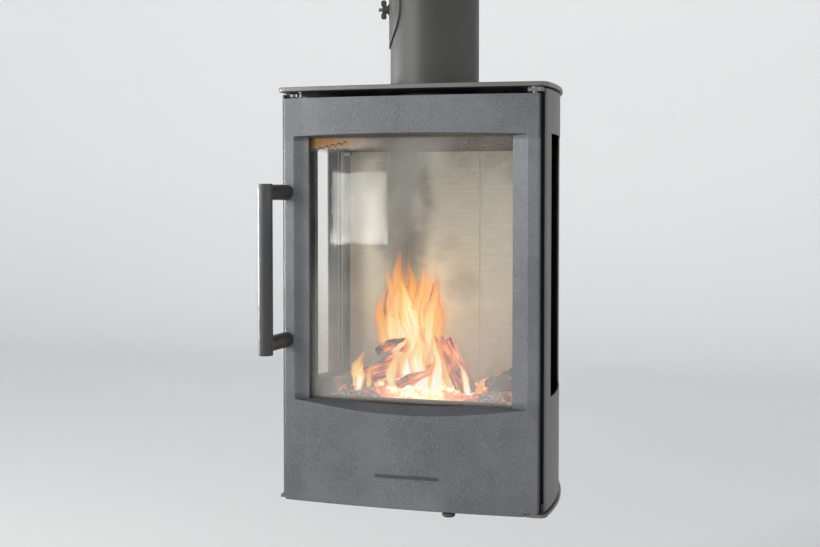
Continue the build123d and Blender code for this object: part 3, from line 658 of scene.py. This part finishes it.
def ember_material(name, cold_dark, cold_pale, spread, reach):
    """Ash and coal that glow brighter towards the middle of the fire."""
    ember = Finish(name)
    place = ember.place()
    fine = ember.noise(place, 240.0, 3.0, 0.6)
    patch = ember.noise(place, 52.0, 3.0, 0.65)
    away = ember.distance(ember.stretched(place, (1, 0.7, 1)), on_hearth(8, -10, 12) * Vector((1, 0.7, 1)))
    nearness = ember.between(away, 0.02, reach, 1.0, 0.0)
    heat = (nearness * 0.95 + (patch - 0.5) * spread).at_least(0).at_most(1)
    cold = ember.mix(ember.between(fine, 0.35, 0.65), cold_dark, cold_pale)
    return ember.close(
        ember.shader(
            base=cold,
            roughness=0.95,
            glow=ember.ramp(heat, EMBER_STOPS),
            glow_strength=1.35,
            normal=ember.bump(fine, 0.0015),
        )
    )


bed = mesh_piece("ember_bed", *bed_mesh())
bed.data.materials.append(
    ember_material("ember_ash", (0.16, 0.13, 0.115, 1), (0.50, 0.46, 0.43, 1), 1.5, 0.12)
)
coals = bpy.data.objects.new("coals", coal_mesh())
bpy.context.scene.collection.objects.link(coals)
coals.data.materials.append(
    ember_material("ember_coal", (0.03, 0.026, 0.024, 1), (0.15, 0.13, 0.12, 1), 2.6, 0.17)
)
for piece in (bed, coals):
    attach(piece, "root")


# Logs ---------------------------------------------------------------------------------------
# Split birch logs leant together over the bed. Their lower sides and ends are charred and
# glow where they meet the flames; the split faces further out still show brown wood.

LOG_RINGS = 60
LOG_SIDES = 32


def log_mesh(start, end, radius, split, seed):
    """A split log: a round bark side and two flat split faces, roughened all over."""
    axis = end - start
    side = axis.cross(Vector((0, 0, 1))).normalized()
    up = side.cross(axis).normalized()
    points, places = [], []
    for ring in range(LOG_RINGS + 1):
        along = ring / LOG_RINGS
        middle = start + axis * along
        close_in = min(1.0, 0.72 + 6.0 * min(along, 1 - along))
        for corner in range(LOG_SIDES):
            turn = 2 * math.pi * corner / LOG_SIDES
            flat = 1.0
            for face in (-0.9, 1.1):
                facing = math.cos(turn - face)
                if facing > split:
                    flat = min(flat, split / facing)
            way = side * math.cos(turn) + up * math.sin(turn)
            around = turn * radius
            grain = noise.noise(Vector((along * 2.5, math.cos(turn) * 4, math.sin(turn) * 4 + seed)))
            fibres = noise.noise(Vector((along * 7, math.cos(turn) * 14, math.sin(turn) * 14 + seed)))
            rough = noise.noise((middle + way * radius) * 140)
            reach = radius * close_in * flat * (1 + 0.16 * grain + 0.10 * fibres) + 0.0013 * rough
            points.append(middle + way * reach)
            places.append((math.cos(turn) * radius, math.sin(turn) * radius, along * axis.length))
    faces = []
    for ring in range(LOG_RINGS):
        for corner in range(LOG_SIDES):
            a = ring * LOG_SIDES + corner
            b = ring * LOG_SIDES + (corner + 1) % LOG_SIDES
            faces.append((a, b, b + LOG_SIDES, a + LOG_SIDES))
    faces.append(tuple(reversed(range(LOG_SIDES))))
    faces.append(tuple(LOG_RINGS * LOG_SIDES + corner for corner in range(LOG_SIDES)))
    return points, faces, places


def keep_places(piece, name, places):
    """Stores a vector on each point of a piece for its material to read."""
    stored = piece.data.attributes.new(name, "FLOAT_VECTOR", "POINT")
    stored.data.foreach_set("vector", [part for place in places for part in place])


CHAR_BLACK = (0.028, 0.022, 0.019, 1)
CHAR_ASH = (0.30, 0.26, 0.235, 1)
WOOD_BROWN = (0.33, 0.19, 0.115, 1)
WOOD_RED = (0.17, 0.075, 0.045, 1)

log_finish = Finish("burning_log")
log_place = log_finish.place()
log_grain_place = log_finish.stretched(log_finish.stored("log_place"), (1, 1, 0.09))
log_fibre = log_finish.noise(log_grain_place, 340.0, 3.0, 0.6)
log_fine = log_finish.noise(log_place, 240.0, 4.0, 0.6)
log_patch = log_finish.noise(log_place, 26.0, 3.0, 0.6)
log_away = log_finish.distance(log_place, on_hearth(-8, -6, 34))
log_near = log_finish.between(log_away, 0.035, 0.135, 1.0, 0.0)
log_streak = log_finish.between(log_fibre, 0.46, 0.72)
log_heat = log_near * 0.55 + log_streak * 0.42 + (log_patch - 0.52) * 1.6 - 0.16
log_char = log_finish.mix(log_finish.between(log_fine, 0.5, 0.75), CHAR_BLACK, CHAR_ASH)
log_wood = log_finish.mix(log_streak, WOOD_RED, WOOD_BROWN)
log_bare = log_finish.between(log_patch, 0.40, 0.60) * (1 - log_near * 0.8)
burning_log = log_finish.close(
    log_finish.shader(
        base=log_finish.mix(log_bare, log_char, log_wood),
        roughness=0.92,
        glow=log_finish.ramp(log_heat.at_least(0).at_most(1), EMBER_STOPS),
        glow_strength=1.2,
        normal=log_finish.bump(log_fibre * 1.4 + log_fine * 0.6, 0.0016),
    )
)

# name, one end, other end (right, back, up), radius and how far out the split faces lie
LOGS = [
    ("left_log", (-158, -34, 16), (-62, 0, 40), 13, 0.62),
    ("left_upper_log", (-122, 40, 20), (-30, -2, 82), 12, 0.60),
    ("back_log", (-112, 56, 24), (52, 40, 34), 20, 0.62),
    ("middle_log", (-86, -26, 70), (-44, 8, 92), 9, 0.55),
    ("right_prop_log", (64, -30, 8), (2, 20, 112), 10, 0.58),
    ("right_lean_log", (88, -44, 6), (32, 6, 92), 9, 0.60),
    ("front_log", (-46, -40, 14), (28, -8, 52), 11, 0.62),
    ("right_stub", (108, -26, 16), (148, 30, 30), 17, 0.75),
]
for number, (name, start, end, radius, split) in enumerate(LOGS):
    shape = log_mesh(on_hearth(*start), on_hearth(*end), radius / 1000, split, number * 3.7)
    log = mesh_piece(name, *shape[:2])
    keep_places(log, "log_place", shape[2])
    log.data.materials.append(burning_log)
    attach(log, "root")


# Flames -------------------------------------------------------------------------------------
# Each flame is a thin curling tongue: white-yellow low in the middle, orange at its edges and
# breaking into red-orange streaks at the tip.

TONGUE_ROWS = 44
TONGUE_SIDES = 22


def tongue(name, root, height, width, lean, facing, twist, seed):
    """A closed flame tongue; each point keeps how far across and up the tongue it lies."""
    points, places = [], []
    for row in range(TONGUE_ROWS + 1):
        v = row / TONGUE_ROWS
        belly = 0.55 + 0.45 * math.sin(math.pi * min(1.0, v / 0.5) / 2)
        swell = belly * max(0.0, 1 - v ** 2.2) ** 0.9
        sway = noise.noise(Vector((seed, v * 2.6, 0))) * width * 0.8 * v
        dip = noise.noise(Vector((seed + 9, v * 2.2, 3))) * width * 0.5 * v
        middle = root + Vector((lean[0] * v + sway, lean[1] * v + dip, height * v))
        turn = facing + twist * v
        across = Vector((math.cos(turn), math.sin(turn), 0))
        through = Vector((-math.sin(turn), math.cos(turn), 0))
        half = max(0.0002, width * swell * (1 + 0.25 * noise.noise(Vector((seed, v * 6, 8)))))
        for corner in range(TONGUE_SIDES):
            a = 2 * math.pi * corner / TONGUE_SIDES
            ripple = 1 + 0.14 * noise.noise(Vector((seed + math.cos(a) * 1.5, v * 4, math.sin(a) * 1.5)))
            points.append(middle + across * half * ripple * math.cos(a) + through * half * 0.3 * math.sin(a))
            places.append((math.cos(a), v, seed))
    faces = []
    for row in range(TONGUE_ROWS):
        for corner in range(TONGUE_SIDES):
            a = row * TONGUE_SIDES + corner
            b = row * TONGUE_SIDES + (corner + 1) % TONGUE_SIDES
            faces.append((a, b, b + TONGUE_SIDES, a + TONGUE_SIDES))
    faces.append(tuple(reversed(range(TONGUE_SIDES))))
    faces.append(tuple(TONGUE_ROWS * TONGUE_SIDES + corner for corner in range(TONGUE_SIDES)))
    piece = mesh_piece(name, points, faces)
    keep_places(piece, "flame_place", places)
    return piece


FLAME_STOPS = [
    (0.0, (0.62, 0.10, 0.025, 1)),
    (0.25, (0.93, 0.23, 0.035, 1)),
    (0.5, (1.0, 0.42, 0.07, 1)),
    (0.72, (1.0, 0.72, 0.24, 1)),
    (0.9, (1.0, 0.92, 0.62, 1)),
    (1.0, (1.0, 0.99, 0.88, 1)),
]


def flame_finish(name, fullness, heat_gain, strength):
    """Glowing gas: fuller and whiter low in the middle, thinner and redder outwards and up."""
    flame = Finish(name)
    spot = flame.stored("flame_place")
    across, rise, seed = flame.axes(spot)
    streak = flame.noise(flame.stretched(spot, (4.2, 0.9, 5.0)), 1.9, 3.0, 0.62)
    lick = flame.noise(flame.stretched(spot, (7.0, 1.5, 7.0)), 1.7, 3.0, 0.65)
    inward = flame.between(abs(across) + (streak - 0.5) * 1.0, 0.35, 1.0, 1.0, 0.0)
    fading = flame.between(rise + (lick - 0.5) * 0.9, 0.42, 1.0, 1.0, 0.0)
    start = flame.between(rise + (lick - 0.5) * 0.2, 0.0, 0.16)
    heat = inward * 0.55 + (1 - rise) * 0.48 + (lick - 0.5) * 0.8 + (streak - 0.5) * 0.5 - 0.1
    return flame.close(
        flame.shader(
            base=(0.0, 0.0, 0.0, 1),
            roughness=1.0,
            specular=0.0,
            glow=flame.ramp((heat * heat_gain).at_least(0).at_most(1), FLAME_STOPS),
            glow_strength=strength,
            alpha=(inward * fading * start * fullness).at_most(1),
        )
    )


tip_flame = flame_finish("tip_flame", 0.85, 0.72, 1.0)
soft_flame = flame_finish("soft_flame", 1.15, 0.95, 1.05)
core_flame = flame_finish("core_flame", 1.6, 1.25, 1.12)

# name, root (right, back, up), height, half-width, lean (right, back), facing, twist, material
FLAMES = [
    ("flame_core_diagonal", (-4, -4, 24), 172, 21, (-56, 6), 0.1, 0.3, core_flame),
    ("flame_core_upper", (-24, 2, 66), 128, 27, (-26, 2), -0.2, 0.4, core_flame),
    ("flame_core_low", (-12, -22, -6), 112, 25, (-2, 4), 0.2, -0.3, core_flame),
    ("flame_left_body", (-58, 4, 62), 156, 29, (-8, 2), 0.1, 0.4, soft_flame),
    ("flame_left_edge", (-80, -2, 70), 112, 16, (-8, 4), 0.3, -0.4, tip_flame),
    ("flame_tip_tall", (-52, 8, 112), 138, 17, (-4, 0), -0.1, 0.4, tip_flame),
    ("flame_tip_second", (-38, 12, 108), 122, 15, (4, -2), 0.4, 0.5, tip_flame),
    ("flame_tip_left", (-68, 0, 100), 104, 13, (-4, 2), 0.2, 0.3, tip_flame),
    ("flame_middle_body", (-26, 10, 60), 142, 28, (-6, 0), -0.2, 0.3, soft_flame),
    ("flame_right_body", (-6, 6, 54), 150, 20, (12, 2), -0.3, 0.4, soft_flame),
    ("flame_right_tip", (2, 12, 96), 122, 12, (8, 2), 0.3, 0.5, tip_flame),
    ("flame_right_edge", (14, 2, 78), 84, 10, (6, 2), -0.2, -0.4, tip_flame),
    ("flame_right_low", (20, -24, -6), 104, 17, (-8, 4), 0.2, 0.5, core_flame),
    ("flame_under_left", (-64, -18, 10), 74, 15, (8, 4), -0.1, 0.4, soft_flame),
    ("flame_left_low", (-118, -40, 2), 76, 16, (8, 4), 0.1, 0.3, soft_flame),
    ("flame_left_core", (-114, -42, 6), 52, 9, (6, 4), 0.1, 0.3, core_flame),
    ("flame_left_tiny", (-98, -36, 8), 48, 8, (6, 2), -0.2, 0.3, tip_flame),
    ("flame_prop", (46, -30, 0), 108, 8, (-36, 20), 0.2, -0.3, tip_flame),
    ("flame_right_strip", (84, -50, -4), 72, 9, (-26, 10), 0.2, -0.3, core_flame),
    ("flame_right_stub", (92, -46, 0), 42, 10, (4, 4), 0.1, 0.3, tip_flame),
    ("flame_side", (-30, 34, 20), 150, 20, (4, 6), 1.4, 0.3, soft_flame),
    ("flame_fill_left", (-46, 6, 34), 186, 32, (-6, 2), 0.2, 0.3, soft_flame),
    ("flame_fill_middle", (-18, 10, 30), 196, 32, (-4, 2), 0.0, 0.4, soft_flame),
    ("flame_fill_right", (6, 8, 30), 166, 26, (8, 2), -0.2, 0.3, soft_flame),
    ("flame_fill_low", (-22, -10, 4), 120, 34, (-8, 2), 0.1, 0.2, core_flame),
]
for number, (name, root, height, width, lean, facing, twist, finish) in enumerate(FLAMES):
    shape = (height / 1000, width / 1000, (lean[0] / 1000, lean[1] / 1000), facing, twist)
    piece = tongue(name, on_hearth(*root), *shape, 1.7 + number * 2.3)
    piece.data.materials.append(finish)
    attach(piece, "root")

for name, place, power in (("fire_glow_low", (-10, -10, 40), 0.20), ("fire_glow_high", (-30, 30, 150), 0.22)):
    glow = bpy.data.lights.new(name, "POINT")
    glow.energy = power
    glow.color = (1.0, 0.66, 0.36)
    glow.shadow_soft_size = 0.03
    fire_light = bpy.data.objects.new(name, glow)
    fire_light.location = on_hearth(*place)
    bpy.context.scene.collection.objects.link(fire_light)
